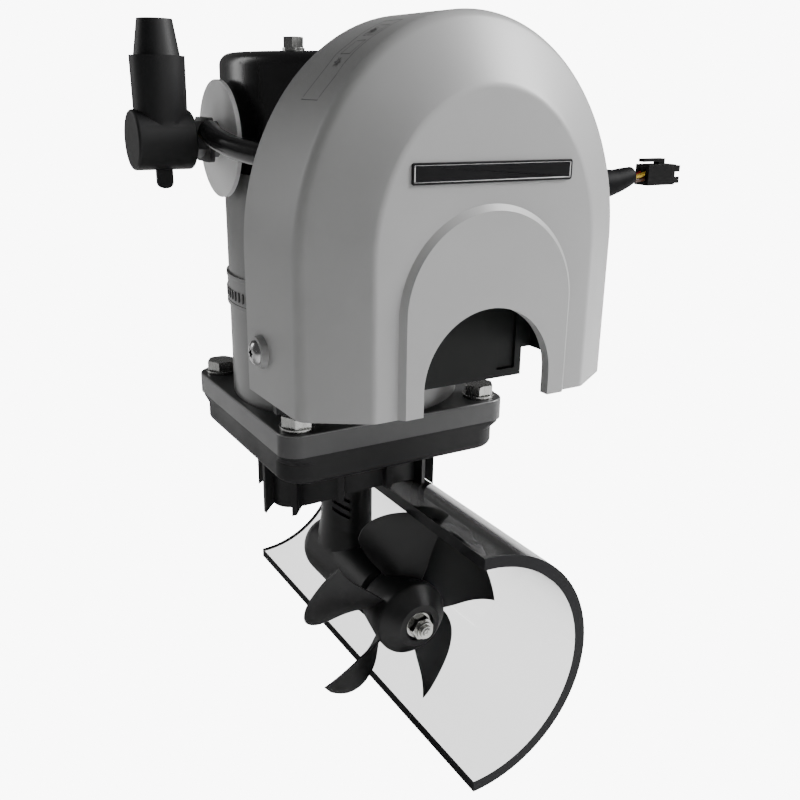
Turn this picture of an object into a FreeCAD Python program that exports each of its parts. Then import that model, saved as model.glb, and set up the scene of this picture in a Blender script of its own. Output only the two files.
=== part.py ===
import FreeCAD, Part
import math
import os

from FreeCAD import Vector

os.makedirs("parts", exist_ok=True)

# Electric bow thruster for a 140 mm tunnel. Millimetres. The origin is where the tunnel
# axis (Y) crosses the axis of the leg and the motor (Z). X runs across the boat's keel line.

# ---------------------------------------------------------------- driving dimensions

# clearances
seat_gap = 0.2          # between a seated curved face and its seat
slip_gap = 0.05         # radial, round piece in its bore
bolt_gap = 0.3          # radial, bolt in a plain hole

# tunnel half tube
tunnel_bore_r = 70.0
tunnel_wall = 7.3
tunnel_half_length = 163.5
leg_hole_gap = 1.5

# saddle
skirt_height = 20.4     # from the tunnel's crown to the block
skirt_r = 54.3
skirt_wall = 5.0
rib_reach = 5.7         # how far a rib stands out of the skirt
rib_thick = 4.0
rib_count = 12
block_half = 74.5
block_corner_r = 18.0
block_height = 12.5
block_soft_r = 4.0
cove_height = 4.0
lip_half = 75.6
lip_height = 2.4

# motor flange
flange_half = 76.8
flange_corner_r = 12.0
flange_thick = 13.6
spigot_height = 5.0

# flange bolts, M10
bolt_pitch = 126.0
bolt_r = 5.0
bolt_head_flats = 17.0
bolt_head_height = 6.4
bolt_length = 30.0
washer_r = 10.5
washer_thick = 2.0

# gear leg
leg_half_x = 16.0
leg_half_y = 23.0
leg_hub_r = 24.0
leg_flange_r = 34.0
leg_flange_thick = 6.0
pod_r = 21.4
pod_front_y = -57.5
pod_front_r = 19.5
pod_taper_y = -20.0     # where the front taper starts
pod_split_y = 20.0
pod_tail_y = 42.0
pod_wall = 3.2
shoulder_spread_x = 2.5
shoulder_spread_y = 7.0
shoulder_low_z = 8.0
shoulder_rise = 10.0     # over the pod's top
coupling_cavity_r = 17.0

# bevel gears
gear_module = 1.7
pinion_teeth = 12
gear_teeth = 18
gear_face = 5.0
tooth_share = 0.40      # of the pitch, at the pitch cone

# shafts and bearings
leg_shaft_r = 5.0
prop_shaft_r = 6.0
leg_bearing_r = 11.0
leg_bearing_width = 6.0
prop_bearing_r = 12.0
prop_bearing_width = 6.0
coupling_r = 14.0

# propeller
blade_count = 5
blade_tip_r = 68.0
tip_inset = 0.7
blade_advance = 31.0     # along the shaft per radian of turn
blade_middle_y = -82.5
edge_share = 0.22        # edge thickness as a share of the blade's thickest
# across the blade from shaft to tip: share of the reach, leading and trailing edge, thickness
blade_stations = [(0.18, 8.0, 0.0, 6.0), (0.27, 13.0, -1.0, 5.2), (0.34, 20.0, -2.0, 4.6),
                  (0.45, 29.0, -3.0, 4.0), (0.565, 35.0, -3.5, 3.5), (0.67, 36.0, -3.8, 3.1),
                  (0.76, 34.5, -4.4, 2.7), (0.83, 31.0, -5.2, 2.4), (0.89, 26.0, -6.2, 2.1),
                  (0.943, 18.5, -7.4, 1.8), (0.98, 10.0, -8.4, 1.5), (1.0, 3.0, -9.0, 1.2)]
hub_r = 24.0
hub_back_r = 20.0
hub_soft_r = 3.5
hub_back_y = -60.0
hub_full_y = -84.0        # where the hub reaches its full radius
hub_shoulder_y = -90.5
hub_nose_y = -100.0
hub_nose_r = 14.0
nose_recess_r = 10.0
nose_recess_depth = 3.0
prop_washer_r = 8.5
prop_washer_thick = 1.6
stud_end_y = -108.4
stud_r = 4.0
prop_nut_flats = 13.0
prop_nut_height = 8.0
drive_pin_r = 2.0
pin_inset = 4.0          # pin's end inside the hub's back
pin_depth = 8.0          # from the hub's back

# motor
yoke_r = 72.8
yoke_wall = 6.0
yoke_height = 138.0
can_height = 64.8
can_wall = 3.0
can_edge_r = 7.0
band_proud = 1.4
band_low = 58.0         # height over the flange
band_width = 19.5
armature_r = 38.0
armature_shaft_r = 7.5
commutator_r = 22.0
motor_bearing_r = 17.5
motor_bearing_width = 11.0
pole_inner_r = 40.0
pole_gap = 0.8           # between a pole and the yoke
tie_inset = 6.8          # from the yoke's inside
tie_angle = 216.7
tie_r = 3.0
tie_head_flats = 10.0
tie_head_height = 7.0
tie_collar = 1.6

# terminal on the motor's side
terminal_rise = 18.3     # over the yoke's top
disc_r = 32.0
disc_thick = 2.5
disc_stand = 4.7         # from the can's side
terminal_r = 5.0
stud_reach = 39.2        # beyond the can's side
terminal_nut_flats = 17.0
terminal_nut_height = 6.0
lug_thick = 3.0
lug_half = 12.0

# terminal boot
boot_barrel_r = 16.0
boot_wall = 3.0
boot_length = 32.5
boot_stand = 23.2        # from the can's side
boot_neck_stand = 38.8
boot_neck_r = 14.2
boot_neck_rise = 43.2    # over the stud
boot_cone_r = 12.4
boot_cone_top_r = 9.3
boot_cone_rise = 61.4
cable_entry_r = 7.0

# motor cable
cable_r = 6.0
# its route, as (out from the yoke or contactor, along Y, over the stud)
cable_lug_points = [(16.6, 0.6, 5.0), (16.4, 12.0, 1.5), (13.7, 26.0, -1.9)]
cable_tray_points = [(8.2, 21.6, -4.5), (1.2, 5.6, -6.1), (-4.3, -7.4, -7.1)]
cable_end_points = [(13.5, -19.4, -9.1), (0.8, -20.4, -9.9)]
cable_hole_inset = 2.4
cable_hole_drop = 6.7

# cover
cover_stand = 1.3        # from the tray's back
cover_depth = 60.3       # to the bevel
bevel_depth = 19.2
cover_back_half = 96.0
cover_draft = 1.2        # narrower at the bevel
cover_front_half = 64.1
cover_back_rise = 113.8  # arch height over its springing
cover_bevel_rise = 113.2
cover_front_rise = 80.0
cover_spring = 106.8     # springing of the arch over the flange
cover_bottom = 32.6
cover_wall = 3.0
bevel_soft_r = 9.0
front_soft_r = 7.0
opening_half = 38.3
opening_spring = 44.8
pad_half = 48.3
pad_spring = 82.0
pad_proud = 2.8
pad_flank = 3.0          # wider at the pad's foot
side_screw_inset = 18.6  # from the cover's back
hole_reach = 20.0
side_screw_height = 57.5
side_boss_r = 8.5
side_boss_proud = 3.0
side_screw_r = 3.0
side_head_r = 6.6
side_head_height = 3.0
plate_half = 46.0
plate_low = 143.2
plate_high = 153.0
plate_thick = 1.0

# control tray and what it carries
tray_stand = 1.4         # from the clamp band
tray_inset = 13.6        # narrower than the cover on each side
tray_rise = 98.0
tray_bottom = 16.2
tray_thick = 2.4
tray_rim = 5.0
tray_rim_proud = 2.0
tray_pad_half = 64.0
tray_pad_spring = 29.0
ear_half_height = 10.0
ear_drop = 24.5          # from the screw down to the ear's foot
ear_thick = 2.0
contactor_size = (52.0, 38.0, 52.0)
contactor_x = -22.0
control_size = (40.0, 28.0, 60.0)
control_x = 38.0
box_low = 104.0          # underside of both boxes over the flange

# loom
loom_inset = 12.1        # from the cover's back
loom_r = 8.2
loom_tip_r = 4.2
loom_rise = 0.10
loom_out = 41.0          # the cone's root beyond the cover
loom_cone_length = 18.0
loom_axis_z = 132.5      # over the flange at the cone's root
connector_size = (17.0, 10.5, 10.0)
wire_run = 13.5          # bare wires between the cone and the connector
connector_z = 137.0
wire_r = 0.9
wire_pitch = 4.2

# ---------------------------------------------------------------- derived places

tunnel_outer_r = tunnel_bore_r + tunnel_wall
block_low_z = tunnel_outer_r + skirt_height
block_top_z = block_low_z + block_height
lip_low_z = block_top_z + cove_height
saddle_top_z = lip_low_z + lip_height
flange_top_z = saddle_top_z + flange_thick
yoke_low_z = flange_top_z
yoke_top_z = yoke_low_z + yoke_height
can_top_z = yoke_top_z + can_height
yoke_inner_r = yoke_r - yoke_wall
terminal_z = yoke_top_z + terminal_rise
band_r = yoke_r + band_proud
pole_outer_r = yoke_inner_r - pole_gap
tie_circle_r = yoke_inner_r - tie_inset
disc_back_x = -yoke_r - disc_stand
terminal_end_x = -yoke_r - stud_reach
boot_right_x = -yoke_r - boot_stand
boot_left_x = boot_right_x - boot_length
boot_neck_x = -yoke_r - boot_neck_stand
drive_pin_y = hub_back_y - pin_depth
tray_back_y = -band_r - tray_stand
tray_base_y = tray_back_y - tray_thick
tray_front_y = tray_base_y - tray_rim_proud
tray_half = cover_back_half - tray_inset
cable_hole_x = -yoke_r + cable_hole_inset
cable_hole_z = terminal_z - cable_hole_drop
contactor_left_x = contactor_x - contactor_size[0] / 2
cable_route = [(-yoke_r - out, -lug_half - along, terminal_z + rise)
               for out, along, rise in cable_lug_points]
cable_route += [(-yoke_r - out, tray_back_y + along, terminal_z + rise)
                for out, along, rise in cable_tray_points]
cable_route += [(contactor_left_x - out, tray_back_y + along, terminal_z + rise)
                for out, along, rise in cable_end_points]
cover_back_y = tray_back_y - cover_stand
cover_bevel_y = cover_back_y - cover_depth
cover_front_y = cover_bevel_y - bevel_depth
cover_bevel_half = cover_back_half - cover_draft
side_screw_y = cover_back_y - side_screw_inset
loom_y = cover_back_y - loom_inset
loom_cone_x = cover_back_half + loom_out
loom_tip_x = loom_cone_x + loom_cone_length
connector_x = loom_tip_x + wire_run
cover_low_z = flange_top_z + cover_bottom
cover_spring_z = flange_top_z + cover_spring


# ---------------------------------------------------------------- shape helpers

def save(name, *solids):
    """Write one node: one solid, or a group of separate solids."""
    shape = solids[0] if len(solids) == 1 else Part.makeCompound(list(solids))
    shape.exportStep("parts/" + name + ".step")


def upright(r, low, high, x=0.0, y=0.0):
    return Part.makeCylinder(r, high - low, Vector(x, y, low), Vector(0, 0, 1))


def along_y(r, start, end, x=0.0, z=0.0):
    return Part.makeCylinder(r, end - start, Vector(x, start, z), Vector(0, 1, 0))


def along_x(r, start, end, y=0.0, z=0.0):
    return Part.makeCylinder(r, end - start, Vector(start, y, z), Vector(1, 0, 0))


def block(x0, x1, y0, y1, z0, z1):
    return Part.makeBox(x1 - x0, y1 - y0, z1 - z0, Vector(x0, y0, z0))


def rounded_square(half, corner, z):
    """Closed wire of a square with rounded corners, level at z."""
    edges = []
    for quarter in range(4):
        turn = math.radians(90 * quarter)
        cx, cy = half - corner, half - corner
        centre = Vector(cx * math.cos(turn) - cy * math.sin(turn),
                        cx * math.sin(turn) + cy * math.cos(turn), z)
        arc = Part.Circle(centre, Vector(0, 0, 1), corner)
        edges.append(Part.Arc(arc, turn, turn + math.pi / 2).toShape())
    wire_edges = []
    for index, edge in enumerate(edges):
        following = edges[(index + 1) % 4]
        wire_edges.append(edge)
        wire_edges.append(Part.makeLine(edge.Vertexes[-1].Point, following.Vertexes[0].Point))
    return Part.Wire(wire_edges)


def square_plate(half, corner, low, high):
    return Part.Face(rounded_square(half, corner, low)).extrude(Vector(0, 0, high - low))


def hexagon(flats, height, base, direction):
    """Hexagonal prism that stands on base and points along direction."""
    corner = flats / math.sqrt(3)
    points = [Vector(corner * math.cos(math.radians(60 * k)),
                     corner * math.sin(math.radians(60 * k)), 0) for k in range(7)]
    prism = Part.Face(Part.makePolygon(points)).extrude(Vector(0, 0, height))
    dome = Part.makeCone(corner + height * 0.9, corner * 0.93, height)
    prism = prism.common(dome)
    prism.Placement = FreeCAD.Placement(base, FreeCAD.Rotation(Vector(0, 0, 1), direction))
    return prism


def turned_on_y(profile):
    """Revolve a list of (radius, y) points about the tunnel axis."""
    points = [Vector(r, y, 0) for r, y in profile]
    points.append(points[0])
    return Part.Face(Part.makePolygon(points)).revolve(Vector(0, 0, 0), Vector(0, 1, 0), 360)


def turned_on_z(profile):
    """Revolve a list of (radius, z) points about the motor axis."""
    points = [Vector(r, 0, z) for r, z in profile]
    points.append(points[0])
    return Part.Face(Part.makePolygon(points)).revolve(Vector(0, 0, 0), Vector(0, 0, 1), 360)


def arch_wire(half, rise, spring_z, low_z, y):
    """Upright arch: straight legs to the springing and an elliptical or round head."""
    left_foot, right_foot = Vector(-half, y, low_z), Vector(half, y, low_z)
    left, right = Vector(-half, y, spring_z), Vector(half, y, spring_z)
    crown = Vector(0, y, spring_z + rise)
    if abs(rise - half) < 1e-6:
        head = Part.Arc(right, crown, left).toShape()
        heads = [head]
    elif rise > half:
        ellipse = Part.Ellipse(crown, right, Vector(0, y, spring_z))
        heads = [Part.Arc(ellipse, -math.pi / 2, math.pi / 2).toShape()]
    else:
        ellipse = Part.Ellipse(right, crown, Vector(0, y, spring_z))
        heads = [Part.Arc(ellipse, 0, math.pi).toShape()]
    legs = [Part.makeLine(left, left_foot), Part.makeLine(left_foot, right_foot),
            Part.makeLine(right_foot, right)]
    return Part.Wire(Part.__sortEdges__(heads + legs))


def arch_solid(half, rise, spring_z, low_z, y_front, y_back):
    face = Part.Face(arch_wire(half, rise, spring_z, low_z, y_front))
    return face.extrude(Vector(0, y_back - y_front, 0))


def tube_along(points, r):
    """Round tube along straight runs joined by tangent arcs, as large as the runs allow."""
    knots = [Vector(*p) for p in points]
    runs = [(b - a).Length for a, b in zip(knots, knots[1:])]
    edges = []
    start = knots[0]
    for index in range(1, len(knots) - 1):
        before = (knots[index] - knots[index - 1]).normalize()
        after = (knots[index + 1] - knots[index]).normalize()
        half_turn = before.getAngle(after) / 2
        reach = 0.45 * min(runs[index - 1], runs[index])
        print("bend radius", round(reach / math.tan(half_turn), 1))
        enter = knots[index] - before * reach
        leave = knots[index] + after * reach
        inward = (after - before).normalize()
        radius = reach / math.tan(half_turn)
        centre = knots[index] + inward * (radius / math.cos(half_turn))
        middle = centre - inward * radius
        edges.append(Part.makeLine(start, enter))
        edges.append(Part.Arc(enter, middle, leave).toShape())
        start = leave
    edges.append(Part.makeLine(start, knots[-1]))
    path = Part.Wire(edges)
    section = Part.Wire(Part.Circle(knots[0], knots[1] - knots[0], r).toShape())
    return path.makePipeShell([section], True, True)


# ---------------------------------------------------------------- tunnel and saddle

def oval_wire(half_x, half_y, z):
    oval = Part.Ellipse(Vector(0, half_y, z), Vector(half_x, 0, z), Vector(0, 0, z))
    return Part.Wire(oval.toShape())


def leg_prism(gap, low, high):
    """Oval column with the leg's section, grown by gap."""
    foot = Part.Face(oval_wire(leg_half_x + gap, leg_half_y + gap, low))
    return foot.extrude(Vector(0, 0, high - low))


def make_tunnel():
    """Half tube on the +X side, with half of the leg's hole in its crown."""
    tube = along_y(tunnel_outer_r, -tunnel_half_length, tunnel_half_length)
    tube = tube.cut(along_y(tunnel_bore_r, -tunnel_half_length, tunnel_half_length))
    reach = tunnel_outer_r + 1
    half = tube.common(block(0, reach, -tunnel_half_length, tunnel_half_length, -reach, reach))
    return half.cut(leg_prism(leg_hole_gap, 0, reach))


def make_saddle():
    """Composite saddle: lip, cove and block over a round ribbed skirt cut to the tunnel."""
    lip = square_plate(lip_half, flange_corner_r, lip_low_z, saddle_top_z)
    cove = Part.makeLoft([rounded_square(block_half, block_corner_r, block_top_z),
                          rounded_square(lip_half, flange_corner_r, lip_low_z)], True, True)
    body = square_plate(block_half, block_corner_r, block_low_z, block_top_z)
    low_edges = [e for e in body.Edges
                 if all(abs(v.Z - block_low_z) < 1e-4 for v in e.Vertexes)]
    body = body.makeFillet(min(block_soft_r, block_height / 3), low_edges)
    foot_z = tunnel_outer_r * 0.4
    skirt = upright(skirt_r, foot_z, block_low_z + 1)
    skirt = skirt.cut(upright(skirt_r - skirt_wall, foot_z - 1, block_low_z))
    saddle = lip.fuse([cove, body, skirt])
    rib_length = rib_reach + skirt_wall
    for k in range(rib_count):
        rib = block(skirt_r - skirt_wall + 0.5, skirt_r - skirt_wall + rib_length,
                    -rib_thick / 2, rib_thick / 2, foot_z, block_low_z + 1)
        rib.rotate(Vector(0, 0, 0), Vector(0, 0, 1), 360.0 * k / rib_count)
        saddle = saddle.fuse(rib)
    collar = leg_prism(leg_hole_gap + skirt_wall, foot_z, block_low_z + 1)
    saddle = saddle.fuse(collar)
    saddle = saddle.cut(along_y(tunnel_outer_r + seat_gap, -block_half, block_half))
    saddle = saddle.cut(leg_prism(slip_gap + seat_gap, foot_z - 1, block_low_z + 1))
    saddle = saddle.cut(upright(leg_hub_r + slip_gap, block_low_z, saddle_top_z + 1))
    flange_seat = upright(leg_flange_r + slip_gap, saddle_top_z - leg_flange_thick,
                          saddle_top_z + 1)
    saddle = saddle.cut(flange_seat)
    for x, y in bolt_places():
        depth = bolt_length - flange_thick
        saddle = saddle.cut(upright(bolt_r + slip_gap, saddle_top_z - depth, saddle_top_z + 1,
                                    x, y))
    return saddle.removeSplitter()


def bolt_places():
    half = bolt_pitch / 2
    return [(sx * half, sy * half) for sx in (-1, 1) for sy in (-1, 1)]


# ---------------------------------------------------------------- gear leg

leg_flange_low_z = saddle_top_z - leg_flange_thick
upper_bearing_low_z = block_low_z - 6.0
lower_bearing_low_z = gear_module * gear_teeth / 2 + 12.0
seal_low_z = lower_bearing_low_z + leg_bearing_width + 2.0
seal_width = 6.0
front_bearing_y = pod_front_y + 16.0
tail_bearing_y = pod_split_y + 2.0
prop_seal_width = 7.0


def make_leg():
    """Gear leg: top flange, hub, oval neck and pod, hollow for the gears and shafts."""
    neck = leg_prism(0, 0, block_low_z + 0.5)
    hub = upright(leg_hub_r, block_low_z + 0.5, saddle_top_z)
    top = upright(leg_flange_r, leg_flange_low_z + seat_gap, saddle_top_z)
    pod = turned_on_y([(0, pod_front_y), (pod_front_r - 2.5, pod_front_y),
                       (pod_front_r, pod_front_y + 3.0), (pod_r, pod_taper_y),
                       (pod_r, pod_split_y), (0, pod_split_y)])
    shoulder = Part.makeLoft([
        oval_wire(leg_half_x + shoulder_spread_x, leg_half_y + shoulder_spread_y, shoulder_low_z),
        oval_wire(leg_half_x, leg_half_y, pod_r + shoulder_rise)], True, True)
    shoulder = shoulder.cut(block(-60, 60, pod_split_y, 60, -60, 60))
    neck = neck.cut(block(-60, 60, pod_split_y, 60, -60, pod_r + seat_gap))
    leg = pod.fuse([neck, hub, top, shoulder])
    leg = leg.cut(along_y(pod_r - pod_wall, front_bearing_y + prop_bearing_width + 2,
                          pod_split_y + 1))
    leg = leg.cut(along_y(prop_bearing_r + slip_gap, pod_front_y - 1,
                          front_bearing_y + prop_bearing_width))
    leg = leg.cut(along_y(prop_shaft_r + 2, pod_front_y, 0))
    pinion_reach = pinion_pitch_r + 1.1 * gear_module
    leg = leg.cut(upright(pinion_reach, 0, gear_pitch_r + gear_module + 3.0))
    leg = leg.cut(upright(leg_shaft_r + 2, 0, saddle_top_z))
    leg = leg.cut(upright(leg_bearing_r + slip_gap, 0, seal_low_z + seal_width))
    leg = leg.cut(upright(leg_bearing_r + slip_gap, upper_bearing_low_z, saddle_top_z + 1))
    leg = leg.cut(upright(coupling_cavity_r, upper_bearing_low_z + leg_bearing_width + 1,
                          saddle_top_z + 1))
    for k in range(3):
        slot = block(-leg_half_x, 0, -leg_half_y - 1, -leg_half_y * 0.55, -1.1, 1.1)
        slot.rotate(Vector(-8, -16, 0), Vector(0, 1, 0), 22)
        slot.rotate(Vector(0, 0, 0), Vector(0, 0, 1), -18)
        slot.translate(Vector(0, 0, 44 + 6.0 * k))
        leg = leg.cut(slot)
    return leg.removeSplitter()


def make_tail_cap():
    """Rounded tail of the pod, with the seat of the rear bearing."""
    tip, rim = Vector(0, pod_tail_y, 0), Vector(pod_r, pod_split_y, 0)
    centre = Vector(0, pod_split_y, 0)
    ends = (tip, rim) if pod_tail_y - pod_split_y >= pod_r else (rim, tip)
    curve = Part.Ellipse(ends[0], ends[1], centre)
    rise = Part.Arc(curve, 0, math.pi / 2).toShape()
    outline = Part.Wire(Part.__sortEdges__([rise, Part.makeLine(rim, centre),
                                            Part.makeLine(centre, tip)]))
    cap = Part.Face(outline).revolve(Vector(0, 0, 0), Vector(0, 1, 0), 360)
    cap = cap.cut(along_y(prop_bearing_r + slip_gap, pod_split_y - 1,
                          tail_bearing_y + prop_bearing_width))
    return cap.cut(along_y(prop_shaft_r + 1, pod_split_y, tail_bearing_y + 9))


def ring(outer, inner, low, high):
    return upright(outer, low, high).cut(upright(inner, low - 1, high + 1))


def ring_y(outer, inner, start, end):
    return along_y(outer, start, end).cut(along_y(inner, start - 1, end + 1))


# ---------------------------------------------------------------- bevel gears

pinion_pitch_r = gear_module * pinion_teeth / 2
gear_pitch_r = gear_module * gear_teeth / 2
cone_distance = math.hypot(pinion_pitch_r, gear_pitch_r)


def bevel_gear(teeth, pitch_r, mate_r, phase, hub_outer, hub_end):
    """Straight bevel gear about Z with its apex at the origin and its back upward."""
    lean = math.atan2(pitch_r, mate_r)
    along = Vector(math.sin(lean), 0, math.cos(lean))
    outward = Vector(math.cos(lean), 0, -math.sin(lean))
    side = Vector(0, 1, 0)
    pitch = math.pi * gear_module
    half_pitch_width = tooth_share * pitch / 2
    tip_width = half_pitch_width - 0.36 * 0.8 * gear_module
    root_width = half_pitch_width + 0.36 * 1.1 * gear_module
    ends = []
    for share in (1.0, 1.0 - gear_face / cone_distance):
        centre = along * (cone_distance * share)
        tip = 0.8 * gear_module * share
        root = -1.15 * gear_module * share
        corners = [centre + outward * root - side * (root_width * share),
                   centre + outward * tip - side * (tip_width * share),
                   centre + outward * tip + side * (tip_width * share),
                   centre + outward * root + side * (root_width * share)]
        ends.append(Part.makePolygon(corners + [corners[0]]))
    tooth = Part.makeLoft(ends, True, True)
    inner_share = 1.0 - gear_face / cone_distance
    root_out = along * cone_distance - outward * (1.05 * gear_module)
    root_in = along * (cone_distance * inner_share) - outward * (1.05 * gear_module * inner_share)
    back_z = root_out.z + 3.0
    body = turned_on_z([(0, root_in.z), (root_in.x, root_in.z), (root_out.x, root_out.z),
                        (root_out.x - 1.0, back_z), (hub_outer, back_z), (hub_outer, hub_end),
                        (0, hub_end)])
    solids = []
    for k in range(teeth):
        copy = tooth.copy()
        copy.rotate(Vector(0, 0, 0), Vector(0, 0, 1), phase + 360.0 * k / teeth)
        solids.append(copy)
    return body.fuse(solids).removeSplitter()


def make_pinion():
    """Pinion on the leg shaft, a tooth toward the gear's side (+Y)."""
    gear = bevel_gear(pinion_teeth, pinion_pitch_r, gear_pitch_r, 90.0, 9.0,
                      lower_bearing_low_z - 0.5)
    return gear.cut(upright(leg_shaft_r + slip_gap, -1, 60))


def make_gear():
    """Gear on the propeller shaft, a gap toward the pinion (+Z)."""
    gear = bevel_gear(gear_teeth, gear_pitch_r, pinion_pitch_r, 180.0 / gear_teeth, 11.0,
                      tail_bearing_y - 0.5)
    gear.rotate(Vector(0, 0, 0), Vector(0, 0, 1), -90)
    gear.rotate(Vector(0, 0, 0), Vector(1, 0, 0), -90)
    return gear.cut(along_y(prop_shaft_r + slip_gap, -1, 60))


# ---------------------------------------------------------------- propeller

def blade_section(station):
    """Thin lens across the blade in the plane at one height over the shaft."""
    height, lead, trail, thick = station
    count = 7
    front, back = [], []
    for k in range(count):
        share = k / (count - 1)
        across = trail + (lead - trail) * share
        swell = thick * (edge_share + (1 - edge_share) * math.sin(math.pi * share)) / 2
        turn = math.atan2(across, height)
        slope = blade_advance * height / (height ** 2 + across ** 2)
        length = math.hypot(1, slope)
        y = blade_middle_y + blade_advance * turn
        off_across, off_y = -slope / length * swell, swell / length
        front.append(Vector(height, y - off_y, across - off_across))
        back.append(Vector(height, y + off_y, across + off_across))
    face_curve, back_curve = Part.BSplineCurve(), Part.BSplineCurve()
    face_curve.interpolate(front)
    back_curve.interpolate(back)
    return Part.Wire([face_curve.toShape(), Part.makeLine(front[-1], back[-1]),
                      back_curve.toShape(), Part.makeLine(back[0], front[0])])


def make_blade():
    """Broad swept blade: full rounded leading edge, pointed corner at the tip's other end."""
    reach = blade_tip_r - tip_inset
    stations = []
    for share, lead, trail, thick in blade_stations:
        stations.append((reach * share, lead, trail, thick))
    return Part.makeLoft([blade_section(s) for s in stations], True, False)


def make_propeller():
    """Five-blade propeller: hub that swells to a coned nose with a recess for the nut."""
    hub = turned_on_y([(prop_shaft_r + slip_gap, hub_back_y), (hub_back_r - 1.5, hub_back_y),
                       (hub_back_r, hub_back_y - 1.5), (hub_r, hub_full_y),
                       (hub_r, hub_shoulder_y), (hub_nose_r, hub_nose_y),
                       (nose_recess_r, hub_nose_y),
                       (nose_recess_r, hub_nose_y + nose_recess_depth),
                       (prop_shaft_r + slip_gap, hub_nose_y + nose_recess_depth)])
    shoulder = [e for e in hub.Edges
                if abs(e.BoundBox.YMin - hub_shoulder_y) < 1e-3
                and abs(e.BoundBox.YMax - hub_shoulder_y) < 1e-3]
    hub = hub.makeFillet(hub_soft_r, shoulder)
    solids = []
    for k in range(blade_count):
        blade = make_blade()
        blade.rotate(Vector(0, 0, 0), Vector(0, 1, 0), -360.0 * k / blade_count)
        solids.append(blade)
    propeller = hub.fuse(solids)
    propeller = propeller.cut(along_y(prop_shaft_r + slip_gap, -140, 0))
    half_slot = hub_back_r - pin_inset + 1
    pin_slot = along_x(drive_pin_r + slip_gap, -half_slot, half_slot, drive_pin_y, 0)
    return propeller.cut(pin_slot)


def make_prop_shaft():
    """Propeller shaft with a pin hole, a shoulder and a threaded end of smaller size."""
    shoulder_y = hub_nose_y + nose_recess_depth + 0.3
    shaft = along_y(prop_shaft_r, shoulder_y, tail_bearing_y + prop_bearing_width)
    shaft = shaft.fuse(along_y(stud_r, stud_end_y, shoulder_y + 1))
    return shaft.cut(along_x(drive_pin_r, -20, 20, drive_pin_y, 0))


def make_prop_nut():
    """Lock nut: hexagon with a round collar."""
    base = hub_nose_y + nose_recess_depth - prop_washer_thick
    nut = hexagon(prop_nut_flats, prop_nut_height * 0.7, Vector(0, base, 0), Vector(0, -1, 0))
    collar = along_y(prop_nut_flats * 0.42, base - prop_nut_height, base)
    return nut.fuse(collar).cut(along_y(stud_r + slip_gap, -140, 0))


def make_prop_washer():
    seat = hub_nose_y + nose_recess_depth
    return ring_y(prop_washer_r, stud_r + bolt_gap, seat - prop_washer_thick, seat)


# ---------------------------------------------------------------- motor

coupling_low_z = upper_bearing_low_z + leg_bearing_width + 2.0
coupling_high_z = flange_top_z - 8.0
lower_motor_bearing_z = flange_top_z - 6.0
stack_low_z = flange_top_z + 34.0
stack_high_z = flange_top_z + 116.0
brush_z = yoke_top_z + 14.0


def tie_places():
    return [(tie_circle_r * math.cos(math.radians(tie_angle + turn)),
             tie_circle_r * math.sin(math.radians(tie_angle + turn))) for turn in (0, 180)]


def make_flange():
    """Cast motor flange with a spigot for the yoke and the seat of the lower bearing."""
    plate = square_plate(flange_half, flange_corner_r, saddle_top_z, flange_top_z)
    top_edges = [e for e in plate.Edges
                 if all(abs(v.Z - flange_top_z) < 1e-4 for v in e.Vertexes)]
    plate = plate.makeFillet(1.2, top_edges)
    spigot = upright(yoke_inner_r - slip_gap, flange_top_z - 1, flange_top_z + spigot_height)
    flange = plate.fuse(spigot)
    bearing_top = lower_motor_bearing_z + motor_bearing_width
    flange = flange.cut(upright(motor_bearing_r + slip_gap, lower_motor_bearing_z,
                                bearing_top + 1))
    flange = flange.cut(upright(armature_shaft_r + 2, saddle_top_z, bearing_top))
    flange = flange.cut(upright(coupling_cavity_r, saddle_top_z - 1, coupling_high_z + 1))
    for x, y in bolt_places():
        flange = flange.cut(upright(bolt_r + bolt_gap, saddle_top_z - 1, flange_top_z + 1, x, y))
    for x, y in tie_places():
        flange = flange.cut(upright(tie_r + slip_gap, saddle_top_z + 3, flange_top_z + 9, x, y))
    return flange.removeSplitter()


def make_flange_bolts():
    """Hexagon bolts with shanks into the saddle."""
    bolts = []
    seat = flange_top_z + washer_thick
    for x, y in bolt_places():
        head = hexagon(bolt_head_flats, bolt_head_height, Vector(x, y, seat), Vector(0, 0, 1))
        shank = upright(bolt_r, seat - bolt_length + 1, seat + 1, x, y)
        bolts.append(head.fuse(shank))
    return bolts


def make_flange_washers():
    washers = []
    for x, y in bolt_places():
        disc = upright(washer_r, flange_top_z, flange_top_z + washer_thick, x, y)
        washers.append(disc.cut(upright(bolt_r + bolt_gap, flange_top_z - 1,
                                        flange_top_z + 5, x, y)))
    return washers


def make_can():
    """Black end can: a drawn cup with a rounded rim and the seat of the upper bearing."""
    can = upright(yoke_r, yoke_top_z, can_top_z)
    rim = [e for e in can.Edges if abs(e.BoundBox.ZMin - can_top_z) < 1e-4]
    can = can.makeFillet(can_edge_r, rim)
    hollow = upright(yoke_r - can_wall, yoke_top_z - 1, can_top_z - can_wall)
    inner_rim = [e for e in hollow.Edges
                 if abs(e.BoundBox.ZMin - (can_top_z - can_wall)) < 1e-4]
    can = can.cut(hollow.makeFillet(can_edge_r - can_wall + 1, inner_rim))
    seat_low = can_top_z - can_wall - motor_bearing_width
    can = can.fuse(ring(motor_bearing_r + 4, motor_bearing_r + slip_gap, seat_low,
                        can_top_z - can_wall + 0.5))
    for x, y in tie_places():
        can = can.cut(upright(tie_r + bolt_gap, yoke_top_z, can_top_z + 1, x, y))
    return can.cut(along_x(terminal_r + 3.0, -yoke_r - 5, -yoke_r + 12, 0, terminal_z))


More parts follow.
